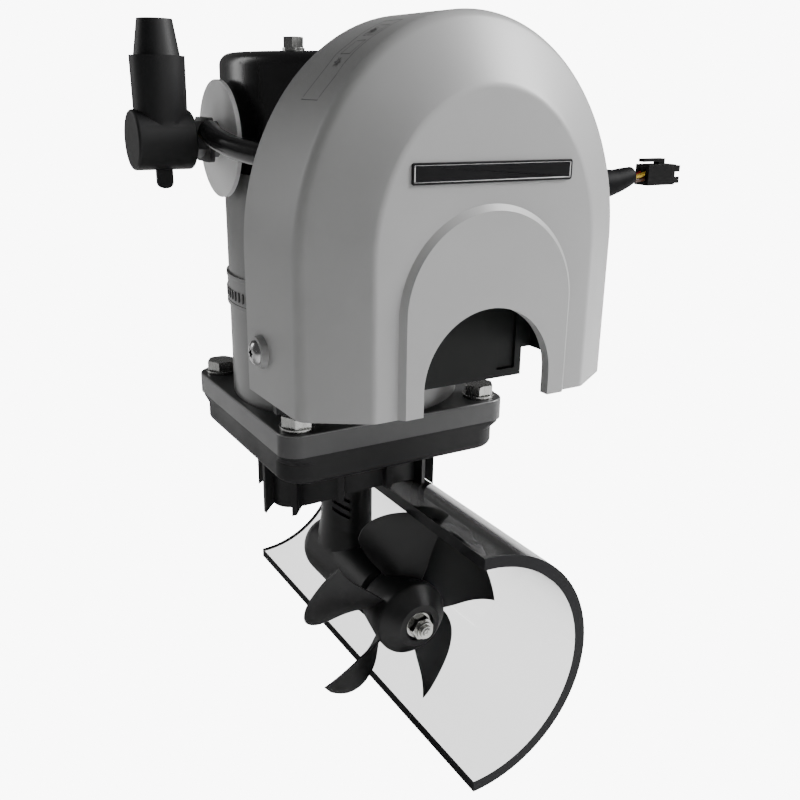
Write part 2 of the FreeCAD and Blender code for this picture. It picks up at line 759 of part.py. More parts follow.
def make_tie_bolts():
    """Long bolts through the motor, heads and washers on the can."""
    bolts = []
    for x, y in tie_places():
        head = hexagon(tie_head_flats, tie_head_height - tie_collar,
                       Vector(x, y, can_top_z + tie_collar),
                       Vector(0, 0, 1))
        collar = upright(tie_head_flats * 0.6, can_top_z, can_top_z + tie_collar, x, y)
        rod = upright(tie_r, flange_top_z - 8, can_top_z + 2, x, y)
        bolts.append(head.fuse([collar, rod]))
    return bolts


def make_poles():
    """Four field poles on the yoke's inside, clear of the tie bolts."""
    poles = []
    sector = ring(pole_outer_r, pole_inner_r, stack_low_z - 6, stack_high_z + 4)
    for k in range(4):
        centre = tie_angle + 45.0 + 90.0 * k
        turn_a, turn_b = math.radians(centre - 29), math.radians(centre + 29)
        far = pole_outer_r * 1.3
        points = [Vector(0, 0, stack_low_z - 7),
                  Vector(far * math.cos(turn_a), far * math.sin(turn_a), stack_low_z - 7),
                  Vector(far * math.cos(turn_b), far * math.sin(turn_b), stack_low_z - 7)]
        wedge = Part.Face(Part.makePolygon(points + [points[0]]))
        wedge = wedge.extrude(Vector(0, 0, stack_high_z - stack_low_z + 14))
        poles.append(sector.common(wedge))
    return poles


def make_armature():
    """Armature: shaft, slotted lamination stack and the winding heads."""
    shaft = upright(armature_shaft_r, coupling_high_z - 10, can_top_z - can_wall - 1)
    stack = upright(armature_r, stack_low_z, stack_high_z)
    for k in range(16):
        slot = block(armature_r - 7, armature_r + 1, -1.5, 1.5, stack_low_z - 1,
                     stack_high_z + 1)
        slot.rotate(Vector(0, 0, 0), Vector(0, 0, 1), 22.5 * k)
        stack = stack.cut(slot)
    low_winding = turned_on_z([(0, stack_low_z - 14), (22, stack_low_z - 14),
                               (30, stack_low_z), (0, stack_low_z)])
    high_winding = turned_on_z([(0, stack_high_z), (30, stack_high_z),
                                (22, stack_high_z + 14), (0, stack_high_z + 14)])
    return shaft.fuse([stack, low_winding, high_winding])


def make_commutator():
    return ring(commutator_r, armature_shaft_r + slip_gap, brush_z - 13, brush_z + 13)


brush_length = 20.0
brush_half = 5.0
guide_start = 8.0        # from the commutator
guide_end = 26.0
guide_half = 8.0
guide_wall = 2.0
guide_floor = 3.0
carrier_thick = 4.0
carrier_drop = 10.0      # under the brushes' middle


def brush_turn(number):
    return tie_angle + 45 + 90 * number


def make_brush_carrier():
    """Insulating ring in the can with a box for each brush."""
    hole_r = commutator_r + guide_start
    carrier = ring(yoke_r - can_wall - slip_gap, hole_r, brush_z - carrier_drop,
                   brush_z - carrier_drop + carrier_thick)
    room = brush_half + seat_gap
    for number in range(4):
        guide = block(hole_r, commutator_r + guide_end, -guide_half, guide_half,
                      brush_z - brush_half - guide_wall, brush_z + brush_half + guide_floor)
        guide = guide.cut(block(hole_r - 1, commutator_r + guide_end - guide_wall, -room, room,
                                brush_z - room, brush_z + room))
        guide.rotate(Vector(0, 0, 0), Vector(0, 0, 1), brush_turn(number))
        carrier = carrier.fuse(guide)
    for x, y in tie_places():
        carrier = carrier.cut(upright(tie_r + bolt_gap, brush_z - 20, brush_z + 20, x, y))
    return carrier


def make_brushes():
    brushes = []
    for number in range(4):
        brush = block(commutator_r, commutator_r + brush_length, -brush_half, brush_half,
                      brush_z - brush_half, brush_z + brush_half)
        brush = brush.cut(upright(commutator_r + 0.3, brush_z - 6, brush_z + 6))
        brush.rotate(Vector(0, 0, 0), Vector(0, 0, 1), brush_turn(number))
        brushes.append(brush)
    return brushes


def make_band():
    """Clamp band with a row of small raised teeth along its middle."""
    low = flange_top_z + band_low
    band = ring(band_r - 0.5, yoke_r + slip_gap, low, low + band_width)
    rim_low = ring(band_r, yoke_r + slip_gap, low, low + 2.5)
    rim_high = ring(band_r, yoke_r + slip_gap, low + band_width - 2.5, low + band_width)
    return band.fuse([rim_low, rim_high])


# ---------------------------------------------------------------- motor terminal

disc_front_x = disc_back_x - disc_thick
inner_nut_x = disc_front_x - terminal_nut_height
lug_x = inner_nut_x - lug_thick
outer_nut_x = lug_x - terminal_nut_height


def make_disc():
    """Insulating disc against the can, with its bush through the can's wall."""
    disc = along_x(disc_r, disc_front_x, disc_back_x, 0, terminal_z)
    bush = along_x(terminal_r + 6.0, disc_back_x - 1, -yoke_r + 1.5, 0, terminal_z)
    bush = bush.cut(upright(yoke_r + seat_gap, yoke_top_z, can_top_z))
    sleeve = along_x(terminal_r + 2.7, disc_back_x - 1, -yoke_r + can_wall + 2, 0, terminal_z)
    disc = disc.fuse([bush, sleeve])
    return disc.cut(along_x(terminal_r + slip_gap, disc_front_x - 1, 0, 0, terminal_z))


def make_terminal_nuts():
    nuts = []
    for start in (inner_nut_x, outer_nut_x):
        nut = hexagon(terminal_nut_flats, terminal_nut_height,
                      Vector(start + terminal_nut_height, 0, terminal_z), Vector(-1, 0, 0))
        nuts.append(nut.cut(along_x(terminal_r + slip_gap, start - 1, start + 20, 0,
                                    terminal_z)))
    return nuts


def make_lug():
    """Square tab on the stud with a barrel that grips the cable's end."""
    tab = block(lug_x, lug_x + lug_thick, -lug_half, lug_half, terminal_z - lug_half,
                terminal_z + lug_half)
    edges = [e for e in tab.Edges if abs(e.BoundBox.XLength - lug_thick) < 1e-4]
    tab = tab.makeFillet(3.0, edges)
    start = Vector(*cable_route[0])
    run = (Vector(*cable_route[1]) - start).normalize()
    tang = Part.makeCylinder(2.0, 9.0, start - run * 2.4, run)
    tab = tab.fuse(tang)
    return tab.cut(along_x(terminal_r + bolt_gap, lug_x - 1, lug_x + 9, 0, terminal_z))


def make_boot():
    """T-shaped rubber boot: closed barrel over the stud, stepped neck for the cable."""
    end = boot_left_x
    barrel = along_x(boot_barrel_r, end, boot_right_x, 0, terminal_z)
    ends = [e for e in barrel.Edges if e.BoundBox.XLength < 1e-4]
    barrel = barrel.makeFillet(1.6, ends)
    neck_top_z = terminal_z + boot_neck_rise
    cone_top_z = terminal_z + boot_cone_rise
    neck = Part.makeCone(boot_neck_r, boot_neck_r + 0.4, neck_top_z - terminal_z,
                         Vector(boot_neck_x, 0, terminal_z), Vector(0, 0, 1))
    cone = Part.makeCone(boot_cone_r, boot_cone_top_r, cone_top_z - neck_top_z + 1,
                         Vector(boot_neck_x, 0, neck_top_z - 1), Vector(0, 0, 1))
    tab = block(boot_neck_x - 4.5, boot_neck_x + 4.5, -1.5, 1.5,
                terminal_z - boot_barrel_r - 10, terminal_z - boot_barrel_r + 2)
    tab_edges = [e for e in tab.Edges if abs(e.BoundBox.YLength - 3.0) < 1e-4
                 and e.BoundBox.ZMax < terminal_z - boot_barrel_r - 9]
    tab = tab.makeFillet(3.6, tab_edges)
    boot = barrel.fuse([neck, cone, tab])
    boot = boot.cut(along_x(boot_barrel_r - boot_wall, end + boot_wall, boot_right_x + 1, 0,
                            terminal_z))
    boot = boot.cut(upright(cable_entry_r, terminal_z, cone_top_z + 1, boot_neck_x, 0))
    return boot


# ---------------------------------------------------------------- cover and tray

def cover_form(shrink, back_y, front_trim, low_z):
    """Outer or inner form of the cover: straight body, then a bevel to the front face."""
    bevel_wire = arch_wire(cover_bevel_half - shrink, cover_bevel_rise - shrink,
                           cover_spring_z, low_z, cover_bevel_y + front_trim * 0.4)
    back_wire = arch_wire(cover_back_half - shrink, cover_back_rise - shrink, cover_spring_z,
                          low_z, back_y)
    front_wire = arch_wire(cover_front_half - shrink * 0.45, cover_front_rise - shrink * 0.45,
                           cover_spring_z, low_z, cover_front_y + front_trim)
    body = Part.makeLoft([back_wire, bevel_wire], True, True)
    bevel = Part.makeLoft([bevel_wire, front_wire], True, True)
    return body.fuse(bevel).removeSplitter()


def soften(form, y, radius):
    """Round the arch-shaped edges that lie in the plane at y."""
    edges = [e for e in form.Edges
             if abs(e.BoundBox.YMin - y) < 1e-3 and abs(e.BoundBox.YMax - y) < 1e-3
             and e.BoundBox.ZLength > 1.0]
    return form.makeFillet(radius, edges)


def make_cover():
    """Moulded cover, open at the back and the bottom, with an arched cable opening."""
    outer = cover_form(0, cover_back_y, 0, cover_low_z)
    outer = soften(outer, cover_bevel_y, bevel_soft_r)
    outer = soften(outer, cover_front_y, front_soft_r)
    inner = cover_form(cover_wall, cover_back_y + 1, cover_wall, cover_low_z - 1)
    cover = outer.cut(inner)
    foot_half = pad_half + pad_flank
    pad_spring_z = flange_top_z + pad_spring
    foot = arch_solid(foot_half, foot_half, pad_spring_z, cover_low_z, cover_front_y,
                      cover_front_y + cover_wall / 2)
    pad = Part.makeLoft([
        arch_wire(foot_half, foot_half, pad_spring_z, cover_low_z, cover_front_y),
        arch_wire(pad_half, pad_half, pad_spring_z, cover_low_z, cover_front_y - pad_proud)],
        True, True)
    cover = cover.fuse([foot, pad])
    opening = arch_solid(opening_half, opening_half, flange_top_z + opening_spring,
                         cover_low_z - 2, cover_front_y - 5, cover_front_y + 12)
    cover = cover.cut(opening)
    screw_z = flange_top_z + side_screw_height
    for side in (-1, 1):
        start = side * (cover_back_half - 2.0)
        boss = Part.makeCone(side_boss_r + 0.6, side_boss_r - 0.4, side_boss_proud + 2.0,
                             Vector(start, side_screw_y, screw_z), Vector(side, 0, 0))
        cover = cover.fuse(boss)
        inside = Vector(side * (cover_back_half - hole_reach / 2), side_screw_y, screw_z)
        hole = Part.makeCylinder(side_screw_r + bolt_gap, hole_reach, inside,
                                 Vector(side, 0, 0))
        cover = cover.cut(hole)
    notch_z = flange_top_z + loom_axis_z - (loom_cone_x - cover_back_half) * loom_rise
    notch = along_x(loom_r + 1.0, cover_back_half - 8, cover_back_half + 4, loom_y, notch_z)
    gap = block(cover_back_half - 8, cover_back_half + 4, loom_y, cover_back_y + 1,
                notch_z - loom_r - 1.0, notch_z + loom_r + 1.0)
    return cover.cut(notch).cut(gap)


def make_cover_screws():
    """Pan-head screws through the cover's bosses into the tray's ears."""
    screws = []
    screw_z = flange_top_z + side_screw_height
    seat = cover_back_half + side_boss_proud
    for side in (-1, 1):
        base = Vector(side * seat, side_screw_y, screw_z)
        head = Part.makeCone(side_head_r, side_head_r * 0.7, side_head_height, base,
                             Vector(side, 0, 0))
        shank = Part.makeCylinder(side_screw_r, 16, Vector(side * (seat - 15), side_screw_y,
                                                           screw_z), Vector(side, 0, 0))
        recess = hexagon(4.0, 4.0, Vector(side * (seat + 1.2), side_screw_y, screw_z),
                         Vector(side, 0, 0))
        screws.append(head.fuse(shank).cut(recess))
    return screws


def make_name_plate():
    low, high = flange_top_z + plate_low, flange_top_z + plate_high
    plate = block(-plate_half, plate_half, cover_front_y - plate_thick, cover_front_y, low, high)
    edges = [e for e in plate.Edges if abs(e.BoundBox.YLength - plate_thick) < 1e-4]
    return plate.makeFillet(1.2, edges)


def make_tray():
    """Black tray behind the cover: rimmed plate, arched pad and two screw ears."""
    low_z = flange_top_z + tray_bottom
    plate = arch_solid(tray_half, tray_rise, cover_spring_z, low_z, tray_front_y, tray_back_y)
    recess = arch_solid(tray_half - tray_rim, tray_rise - tray_rim, cover_spring_z,
                        low_z + tray_rim, tray_front_y - 1, tray_base_y)
    plate = plate.cut(recess)
    pad = arch_solid(tray_pad_half, tray_pad_half, flange_top_z + tray_pad_spring, low_z,
                     tray_front_y, tray_base_y + 0.5)
    tray = plate.fuse(pad)
    ear_z = flange_top_z + side_screw_height
    ear_x = cover_back_half - cover_wall - seat_gap - 0.6
    for side in (-1, 1):
        reach = sorted((side * (tray_half - 2), side * ear_x))
        wing = block(reach[0], reach[1], tray_base_y, tray_back_y, ear_z - ear_drop,
                     ear_z + ear_half_height)
        skin = sorted((side * (ear_x - ear_thick), side * ear_x))
        ear = block(skin[0], skin[1], side_screw_y - ear_half_height, tray_back_y,
                    ear_z - ear_drop, ear_z + ear_half_height)
        tray = tray.fuse([wing, ear])
        inside = Vector(side * (ear_x - hole_reach / 2), side_screw_y, ear_z)
        hole = Part.makeCylinder(side_screw_r + slip_gap, hole_reach, inside,
                                 Vector(side, 0, 0))
        tray = tray.cut(hole)
    cable_hole = along_y(cable_r + 2.0, tray_front_y - 1, tray_back_y + 1, cable_hole_x,
                         cable_hole_z)
    return tray.cut(cable_hole)


def make_tray_bracket():
    """Block between the tray's back and the clamp band, hollowed to the band."""
    low = flange_top_z + band_low
    bracket = block(-28, 28, tray_back_y, -band_r + 8, low + 1, low + band_width - 1)
    return bracket.cut(upright(band_r + seat_gap, low - 1, low + band_width + 1))


def make_contactor():
    """Contactor: coil case with two stud terminals toward the front."""
    width, depth, height = contactor_size
    low = flange_top_z + box_low
    back = tray_base_y
    case = block(contactor_x - width / 2, contactor_x + width / 2, back - depth, back, low,
                 low + height)
    posts = []
    for dx in (-14, 14):
        posts.append(along_y(4.0, back - depth - 12, back - depth + 1, contactor_x + dx,
                             low + height * 0.7))
    cap = block(contactor_x - width / 2 + 5, contactor_x + width / 2 - 5, back - depth - 4,
                back - depth + 1, low + height * 0.35, low + height * 0.95)
    return case.fuse(posts + [cap])


def make_control():
    """Control unit, a plain sealed box, with the socket that the loom leaves."""
    width, depth, height = control_size
    low = flange_top_z + box_low
    case = block(control_x - width / 2, control_x + width / 2, tray_base_y - depth, tray_base_y,
                 low, low + height)
    edges = [e for e in case.Edges if abs(e.BoundBox.YLength - depth) < 1e-4]
    return case.makeFillet(3.0, edges)


# ---------------------------------------------------------------- loom

loom_start_x = control_x + control_size[0] / 2


def loom_point(x):
    return Vector(x, loom_y, flange_top_z + loom_axis_z + (x - loom_cone_x) * loom_rise)


def make_sleeve():
    """Moulded sleeve from the control unit, coned at its end."""
    start, root, tip = (loom_point(x) for x in (loom_start_x - 2, loom_cone_x, loom_tip_x))
    run = (root - start).normalize()
    body = Part.makeCylinder(loom_r, (root - start).Length, start, run)
    cone = Part.makeCone(loom_r, loom_tip_r, (tip - root).Length, root, run)
    sleeve = body.fuse(cone)
    trim = block(loom_start_x - 20, loom_start_x, loom_y - 20, loom_y + 20,
                 flange_top_z, can_top_z)
    return sleeve.cut(trim)


def wire_places():
    half = wire_pitch / 2
    return [(-half, half), (half, half), (-half, -half), (half, -half)]


def make_connector():
    """Four-way connector housing with a latch on top and two keyed noses."""
    length, width, height = connector_size
    z = flange_top_z + connector_z
    body = block(connector_x, connector_x + length, loom_y - width / 2, loom_y + width / 2,
                 z - height / 2, z + height / 2)
    latch = block(connector_x - 1, connector_x + length * 0.72, loom_y - 2.2, loom_y + 2.2,
                  z + height / 2 + 1.2, z + height / 2 + 2.8)
    root = block(connector_x + length * 0.5, connector_x + length * 0.72, loom_y - 2.2,
                 loom_y + 2.2, z + height / 2 - 1, z + height / 2 + 2)
    noses = [block(connector_x + length - 1, connector_x + length + 3.5,
                   loom_y - width / 2 + 0.6, loom_y + width / 2 - 0.6, z + low, z + low + 3.2)
             for low in (-4.4, 1.2)]
    body = body.fuse([latch, root] + noses)
    for dy, dz in wire_places():
        body = body.cut(along_x(wire_r + 0.15, connector_x - 1, connector_x + 5, loom_y + dy,
                                z + dz))
        body = body.cut(block(connector_x + length - 7, connector_x + length + 9,
                              loom_y + dy - 1.3, loom_y + dy + 1.3, z + dz - 1.0, z + dz + 1.0))
    return body


def make_wire(dy, dz):
    """One conductor, straight from the sleeve's end to its place in the connector."""
    start = loom_point(loom_tip_x + 0.4) + Vector(0, dy * 0.45, dz * 0.45)
    end = Vector(connector_x + 4.5, loom_y + dy, flange_top_z + connector_z + dz)
    entry = Vector(connector_x - 1.5, end.y, end.z)
    first = Part.makeCylinder(wire_r, (entry - start).Length, start, entry - start)
    last = Part.makeCylinder(wire_r, (end - entry).Length, entry, end - entry)
    return first.fuse([last, Part.makeSphere(wire_r, entry)])


# ---------------------------------------------------------------- all nodes

save("tunnel_half", make_tunnel())
save("saddle", make_saddle())
save("gear_leg", make_leg())
save("pod_tail_cap", make_tail_cap())
save("motor_flange", make_flange())
save("flange_bolts", *make_flange_bolts())
save("flange_washers", *make_flange_washers())
save("motor_yoke", ring(yoke_r, yoke_inner_r, yoke_low_z, yoke_top_z))
save("field_poles", *make_poles())
save("motor_can", make_can())
save("tie_bolts", *make_tie_bolts())
save("clamp_band", make_band())
save("brush_carrier", make_brush_carrier())
save("brushes", *make_brushes())
save("motor_bearings",
     ring(motor_bearing_r, armature_shaft_r + slip_gap, lower_motor_bearing_z,
          lower_motor_bearing_z + motor_bearing_width),
     ring(motor_bearing_r, armature_shaft_r + slip_gap,
          can_top_z - can_wall - motor_bearing_width, can_top_z - can_wall))
save("leg_bearings",
     ring(leg_bearing_r, leg_shaft_r + slip_gap, lower_bearing_low_z,
          lower_bearing_low_z + leg_bearing_width),
     ring(leg_bearing_r, leg_shaft_r + slip_gap, upper_bearing_low_z,
          upper_bearing_low_z + leg_bearing_width))
save("leg_seal", ring(leg_bearing_r, leg_shaft_r + slip_gap, seal_low_z,
                      seal_low_z + seal_width))
save("prop_bearings",
     ring_y(prop_bearing_r, prop_shaft_r + slip_gap, front_bearing_y,
            front_bearing_y + prop_bearing_width),
     ring_y(prop_bearing_r, prop_shaft_r + slip_gap, tail_bearing_y,
            tail_bearing_y + prop_bearing_width))
save("prop_seal", ring_y(prop_bearing_r, prop_shaft_r + slip_gap, pod_front_y + 1,
                         pod_front_y + 1 + prop_seal_width))
save("terminal_disc", make_disc())
save("terminal_stud", along_x(terminal_r, terminal_end_x, -yoke_r + 12, 0, terminal_z))
save("terminal_nuts", *make_terminal_nuts())
save("cable_lug", make_lug())
save("motor_cable", tube_along(cable_route, cable_r))
save("terminal_boot", make_boot())
save("cover", make_cover())
save("name_plate", make_name_plate())
save("cover_screws", *make_cover_screws())
save("control_tray", make_tray())
save("tray_bracket", make_tray_bracket())
save("contactor", make_contactor())
save("control_unit", make_control())
save("loom_sleeve", make_sleeve())
for wire_name, place in zip(("wire_yellow", "wire_red", "wire_brown", "wire_black"),
                            wire_places()):
    save(wire_name, make_wire(*place))
save("connector", make_connector())

# the turning vertical line
save("armature", make_armature())
save("commutator", make_commutator())
save("drive_coupling", upright(coupling_r, coupling_low_z, coupling_high_z)
     .cut(upright(leg_shaft_r + slip_gap, coupling_low_z - 1, coupling_high_z - 11))
     .cut(upright(armature_shaft_r + slip_gap, coupling_high_z - 10.5, coupling_high_z + 1)))
save("leg_shaft", upright(leg_shaft_r, gear_pitch_r - 3.5, coupling_high_z - 11.5))
save("bevel_pinion", make_pinion())

# the turning propeller line
save("bevel_gear", make_gear())
save("prop_shaft", make_prop_shaft())
pin_half = hub_back_r - pin_inset
save("drive_pin", along_x(drive_pin_r - slip_gap, -pin_half, pin_half, drive_pin_y, 0))
save("propeller", make_propeller())
save("prop_washer", make_prop_washer())
save("prop_nut", make_prop_nut())
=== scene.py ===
import math

import bmesh
import bpy
from mathutils import Matrix, Vector
from mathutils.bvhtree import BVHTree


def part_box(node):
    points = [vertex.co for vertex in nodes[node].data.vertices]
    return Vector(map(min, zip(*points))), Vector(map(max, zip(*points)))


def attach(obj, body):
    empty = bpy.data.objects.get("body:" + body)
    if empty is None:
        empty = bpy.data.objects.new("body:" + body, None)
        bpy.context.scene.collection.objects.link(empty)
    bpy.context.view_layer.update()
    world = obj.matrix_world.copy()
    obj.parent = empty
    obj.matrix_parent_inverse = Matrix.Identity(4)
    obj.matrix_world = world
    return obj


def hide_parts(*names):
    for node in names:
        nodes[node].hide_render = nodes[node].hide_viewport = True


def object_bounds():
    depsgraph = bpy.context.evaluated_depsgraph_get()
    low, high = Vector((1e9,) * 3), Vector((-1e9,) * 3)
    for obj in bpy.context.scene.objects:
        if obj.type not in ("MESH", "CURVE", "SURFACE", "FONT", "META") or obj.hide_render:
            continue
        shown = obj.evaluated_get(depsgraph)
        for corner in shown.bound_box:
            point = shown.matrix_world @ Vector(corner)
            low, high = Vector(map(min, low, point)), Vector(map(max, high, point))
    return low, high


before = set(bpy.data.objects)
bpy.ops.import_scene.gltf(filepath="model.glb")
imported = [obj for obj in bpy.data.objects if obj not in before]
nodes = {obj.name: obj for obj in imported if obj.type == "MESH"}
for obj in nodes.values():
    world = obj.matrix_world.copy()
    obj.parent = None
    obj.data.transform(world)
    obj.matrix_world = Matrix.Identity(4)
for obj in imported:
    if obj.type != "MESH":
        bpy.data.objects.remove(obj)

cad_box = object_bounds()


# Camera. It stands on the propeller's side of the tunnel, level with the upper motor, and
# looks slightly down at the thruster, with the open half of the tunnel toward it.
camera_place = (-0.25747, -0.50744, 0.31176)
camera_turns = (30.57, 18.79, 0.87)


def into_scene(name, data):
    """An object in the scene for a mesh, a camera or a lamp."""
    thing = bpy.data.objects.new(name, data)
    bpy.context.scene.collection.objects.link(thing)
    return thing


camera_data = bpy.data.cameras.new("camera")
camera_data.sensor_width = 36.0
camera_data.lens = 40.375
camera_data.clip_start = 0.01
camera = into_scene("camera", camera_data)
yaw, pitch, roll = (math.radians(turn) for turn in camera_turns)
ahead = Vector((math.sin(yaw) * math.cos(pitch), math.cos(yaw) * math.cos(pitch), -math.sin(pitch)))
level = Vector((math.cos(yaw), -math.sin(yaw), 0.0))
over = level.cross(ahead)
right = level * math.cos(roll) + over * math.sin(roll)
above = over * math.cos(roll) - level * math.sin(roll)
camera.matrix_world = Matrix.Translation(camera_place) @ Matrix(
    (right, above, -ahead)).transposed().to_4x4()
bpy.context.scene.camera = camera


# Studio. A white floor and white walls that stay white behind the thruster, and three large
# soft lamps: a strong one on the right, and weak ones in front and behind on the left.
studio_white = 9.0
room_light = 0.14
floor_half = 6.0
floor_drop = 0.0005


def worked_out(tree, operation, first, second):
    """A number worked out from two others, each of them a socket or a plain number."""
    step = tree.nodes.new("ShaderNodeMath")
    step.operation = operation
    for value, socket in zip((first, second), step.inputs):
        if isinstance(value, float):
            socket.default_value = value
        else:
            tree.links.new(value, socket)
    return step.outputs["Value"]


def stay_white(tree, lit, output):
    """Paper white where it is seen straight on or through the tunnel, and softly lit elsewhere."""
    paper = tree.nodes.new("ShaderNodeEmission")
    paper.inputs["Strength"].default_value = studio_white
    ray = tree.nodes.new("ShaderNodeLightPath").outputs
    bounces = worked_out(tree, "ADD", ray["Diffuse Depth"], ray["Glossy Depth"])
    unbounced = worked_out(tree, "LESS_THAN", bounces, 0.5)
    looking = worked_out(tree, "MAXIMUM", ray["Is Camera Ray"], ray["Is Transmission Ray"])
    choice = tree.nodes.new("ShaderNodeMixShader")
    tree.links.new(worked_out(tree, "MULTIPLY", unbounced, looking), choice.inputs["Fac"])
    tree.links.new(lit, choice.inputs[1])
    tree.links.new(paper.outputs["Emission"], choice.inputs[2])
    tree.links.new(choice.outputs["Shader"], output)


def shaped(name, shape):
    """An object in the scene from a finished shape."""
    mesh = bpy.data.meshes.new(name)
    shape.to_mesh(mesh)
    shape.free()
    return into_scene(name, mesh)


floor_shape = bmesh.new()
bmesh.ops.create_grid(floor_shape, x_segments=1, y_segments=1, size=floor_half,
                      matrix=Matrix.Translation((0, 0, cad_box[0][2] - floor_drop)))
floor = shaped("studio_floor", floor_shape)
floor_paint = bpy.data.materials.new("studio_floor")
floor_paint.use_nodes = True
floor_shader = floor_paint.node_tree.nodes["Principled BSDF"]
floor_shader.inputs["Base Color"].default_value = (0.93, 0.93, 0.93, 1)
floor_shader.inputs["Roughness"].default_value = 0.9
stay_white(floor_paint.node_tree, floor_shader.outputs["BSDF"],
           floor_paint.node_tree.nodes["Material Output"].inputs["Surface"])
floor.data.materials.append(floor_paint)

world = bpy.data.worlds.new("studio")
bpy.context.scene.world = world
world.use_nodes = True
room = world.node_tree.nodes["Background"]
room.inputs["Color"].default_value = (1.0, 1.0, 1.0, 1)
room.inputs["Strength"].default_value = room_light
stay_white(world.node_tree, room.outputs["Background"],
           world.node_tree.nodes["World Output"].inputs["Surface"])


def studio_lamp(name, place, target, size, power):
    """A soft rectangular lamp that points at its target."""
    data = bpy.data.lights.new(name, "AREA")
    data.shape = "RECTANGLE"
    data.size, data.size_y = size
    data.energy = power
    aim = (Vector(target) - Vector(place)).to_track_quat("-Z", "Y")
    into_scene(name, data).matrix_world = Matrix.Translation(place) @ aim.to_matrix().to_4x4()


studio_lamp("lamp_right", (1.6, -0.8, 1.5), (0.0, -0.05, 0.15), (1.0, 1.2), 125)
studio_lamp("lamp_front", (0.3, -1.9, 0.9), (0.0, 0.0, 0.15), (1.2, 1.0), 10)
studio_lamp("lamp_behind", (-1.2, 1.3, 0.8), (-0.05, 0.0, 0.2), (0.5, 1.2), 9)


# Tunnel. Half of a clear acrylic tube, sawn along the plane of the leg for display. The sawn
# edges and the ends are polished and painted nearly black, as painted shade, and the crown is
# painted darker toward its top, as a painted dark reflection.
merge_distance = 2e-6
flat_angle = math.radians(0.5)
rounded_crease = 50.0
facing_out = 0.3
facing_cut = 0.98
cut_reach = 0.001


def dressed(node, name, sharp=30.0, rounding=0.0):
    """A merged copy of a node's mesh in its place, with smooth curves and rounded corners."""
    mesh = nodes[node].data.copy()
    mesh.name = name
    if "custom_normal" in mesh.attributes:
        mesh.attributes.remove(mesh.attributes["custom_normal"])
    shape = bmesh.new()
    shape.from_mesh(mesh)
    bmesh.ops.remove_doubles(shape, verts=shape.verts, dist=merge_distance)
    for face in shape.faces:
        face.material_index = 0
    if rounding:
        bmesh.ops.dissolve_limit(shape, angle_limit=flat_angle, verts=shape.verts, edges=shape.edges)
        corners = [edge for edge in shape.edges if edge.calc_face_angle(0.0) > math.radians(sharp)]
        bmesh.ops.bevel(shape, geom=corners, offset=rounding, offset_type="OFFSET", segments=2,
                        profile=0.5, affect="EDGES", clamp_overlap=True, material=-1)
    crease = math.radians(rounded_crease if rounding else sharp)
    for face in shape.faces:
        face.smooth = True
    for edge in shape.edges:
        edge.smooth = edge.calc_face_angle(0.0) < crease
    shape.to_mesh(mesh)
    shape.free()
    mesh.materials.clear()
    piece = into_scene(name, mesh)
    if rounding:
        piece.modifiers.new("flats", "WEIGHTED_NORMAL").keep_sharp = True
    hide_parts(node)
    return piece


def finish_piece(piece, material, body):
    """The piece's own finish, and the body that carries it."""
    piece.data.materials.append(material)
    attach(piece, body)


def new_finish(name):
    """A new material, its tree and shader, and the place on the piece that its patterns use."""
    material = bpy.data.materials.new(name)
    material.use_nodes = True
    tree = material.node_tree
    place = tree.nodes.new("ShaderNodeTexCoord").outputs["Object"]
    return material, tree, tree.nodes["Principled BSDF"], place


def drawn_out(tree, place, scale):
    """The same place squeezed or drawn out along its axes, for a pattern that runs one way."""
    mapping = tree.nodes.new("ShaderNodeMapping")
    mapping.inputs["Scale"].default_value = scale
    tree.links.new(place, mapping.inputs["Vector"])
    return mapping.outputs["Vector"]


def cloud(tree, place, scale, detail=2.0):
    """Cloudy noise from 0 to 1."""
    noise = tree.nodes.new("ShaderNodeTexNoise")
    noise.inputs["Scale"].default_value = scale
    noise.inputs["Detail"].default_value = detail
    tree.links.new(place, noise.inputs["Vector"])
    return noise.outputs["Fac"]


def spread(tree, value, low, high, start=0.0, full=1.0):
    """A value that goes from low to high while another goes from start to full."""
    stretch = tree.nodes.new("ShaderNodeMapRange")
    for label, number in (("From Min", start), ("From Max", full), ("To Min", low), ("To Max", high)):
        stretch.inputs[label].default_value = number
    tree.links.new(value, stretch.inputs["Value"])
    return stretch.outputs["Result"]


def relief(tree, shader, height, strength, depth):
    """Fine bumps in the surface."""
    bump = tree.nodes.new("ShaderNodeBump")
    bump.inputs["Strength"].default_value = strength
    bump.inputs["Distance"].default_value = depth
    tree.links.new(height, bump.inputs["Height"])
    tree.links.new(bump.outputs["Normal"], shader.inputs["Normal"])


def clear_acrylic(name, clear_tone, crown_shade_tone, crown_shade_from, crown_shade_full):
    """Polished clear acrylic whose colour darkens from one height to another, a painted dark
    reflection on the crown.
    """
    material, tree, shader, place = new_finish(name)
    height = tree.nodes.new("ShaderNodeSeparateXYZ")
    tree.links.new(place, height.inputs["Vector"])
    # Darker toward the top of the crown: painted dark reflection.
    tone = spread(tree, height.outputs["Z"], clear_tone, crown_shade_tone, crown_shade_from, crown_shade_full)
    haze = cloud(tree, drawn_out(tree, place, (1.0, 0.12, 1.6)), 9.0, 3.0)
    mottled = worked_out(tree, "MULTIPLY", tone, spread(tree, haze, 0.9, 1.1))
    tree.links.new(mottled, shader.inputs["Base Color"])
    tree.links.new(spread(tree, haze, 0.0, 0.05), shader.inputs["Roughness"])
    relief(tree, shader, haze, 0.03, 0.002)
    shader.inputs["IOR"].default_value = 1.49
    shader.inputs["Transmission Weight"].default_value = 1.0
    return material


